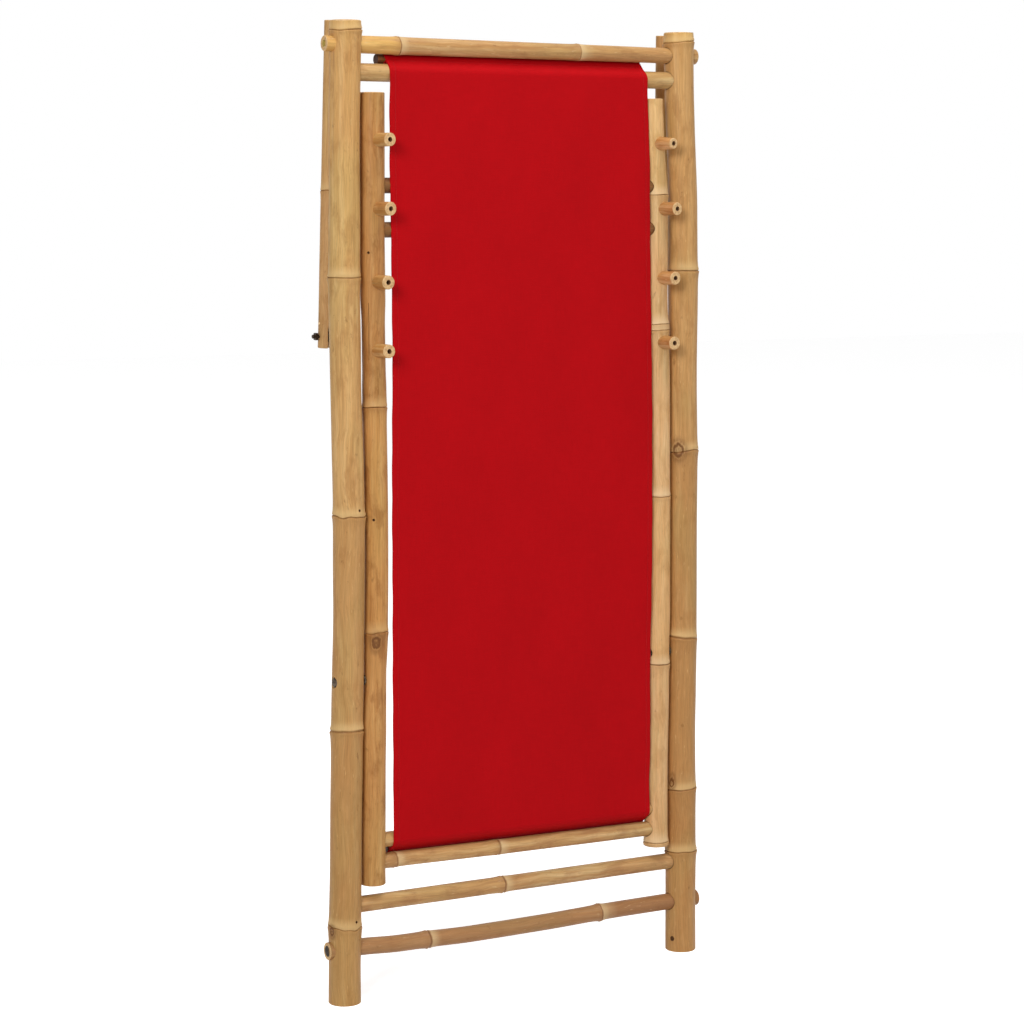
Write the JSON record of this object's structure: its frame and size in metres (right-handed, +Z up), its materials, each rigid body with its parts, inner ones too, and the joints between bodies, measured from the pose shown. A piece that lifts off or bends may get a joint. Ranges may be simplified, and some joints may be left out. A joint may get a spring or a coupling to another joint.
{
  "type": "deck chair",
  "caption": "Folding bamboo deck chair with a plain canvas sling, a pegged seat frame and a swinging prop frame, folded flat.",
  "frame": {"origin": "on the floor, under the middle of the folded chair's box", "axes": "+Z up, +Y towards the back, +X to the right seen from the sitter's side"},
  "size_m": [0.5642, 0.1142, 1.25],
  "materials": {
    "post_bamboo": "satin",
    "rail_bamboo": "satin",
    "seat_bamboo": "satin",
    "peg_bamboo": "satin",
    "prop_bamboo": "satin",
    "dowel_wood": "matte",
    "red_canvas": "matte",
    "dark_steel": "worn",
    "tack_brass": "worn"
  },
  "bodies": {
    "back_frame": {"back_post_left": "post_bamboo", "back_post_right": "post_bamboo", "head_rail": "rail_bamboo", "sling_rail": "rail_bamboo", "foot_rung_upper": "rail_bamboo", "foot_rung_lower": "rail_bamboo", "sleeve_dowel_upper": "dowel_wood", "canvas_sling": "red_canvas", "pivot_bolts": "dark_steel", "pivot_nuts": "dark_steel", "pivot_washers": "dark_steel", "pivot_spacers": "dark_steel", "screw_eyes": "dark_steel", "back_frame_nails": "dark_steel"},
    "seat_frame": {"seat_pole_left": "seat_bamboo", "seat_pole_right": "seat_bamboo", "sling_rung": "seat_bamboo", "front_rung": "seat_bamboo", "brace_rung_upper": "seat_bamboo", "brace_rung_lower": "seat_bamboo", "stop_peg_left_1": "peg_bamboo", "stop_peg_left_2": "peg_bamboo", "stop_peg_left_3": "peg_bamboo", "stop_peg_left_4": "peg_bamboo", "stop_peg_right_1": "peg_bamboo", "stop_peg_right_2": "peg_bamboo", "stop_peg_right_3": "peg_bamboo", "stop_peg_right_4": "peg_bamboo", "sleeve_dowel_lower": "dowel_wood", "seat_frame_nails": "dark_steel"},
    "prop_frame": {"prop_pole_left": "prop_bamboo", "prop_pole_right": "prop_bamboo", "prop_bar": "prop_bamboo", "prop_pins": "dark_steel", "prop_nuts": "dark_steel", "prop_tacks": "tack_brass"}
  },
  "joints": [
    {"name": "seat_fold", "type": "hinge", "parent": "back_frame", "child": "seat_frame", "pos_m": [0.00475, -0.01711, 0.408], "axis": [-1, 0, 0], "range_deg": [0, 64.1], "deforming": ["canvas_sling"]},
    {"name": "prop_swing", "type": "hinge", "parent": "back_frame", "child": "prop_frame", "pos_m": [0.00475, 0.04589, 0.845], "axis": [-1, 0, 0], "range_deg": [0, 131.9]}
  ]
}
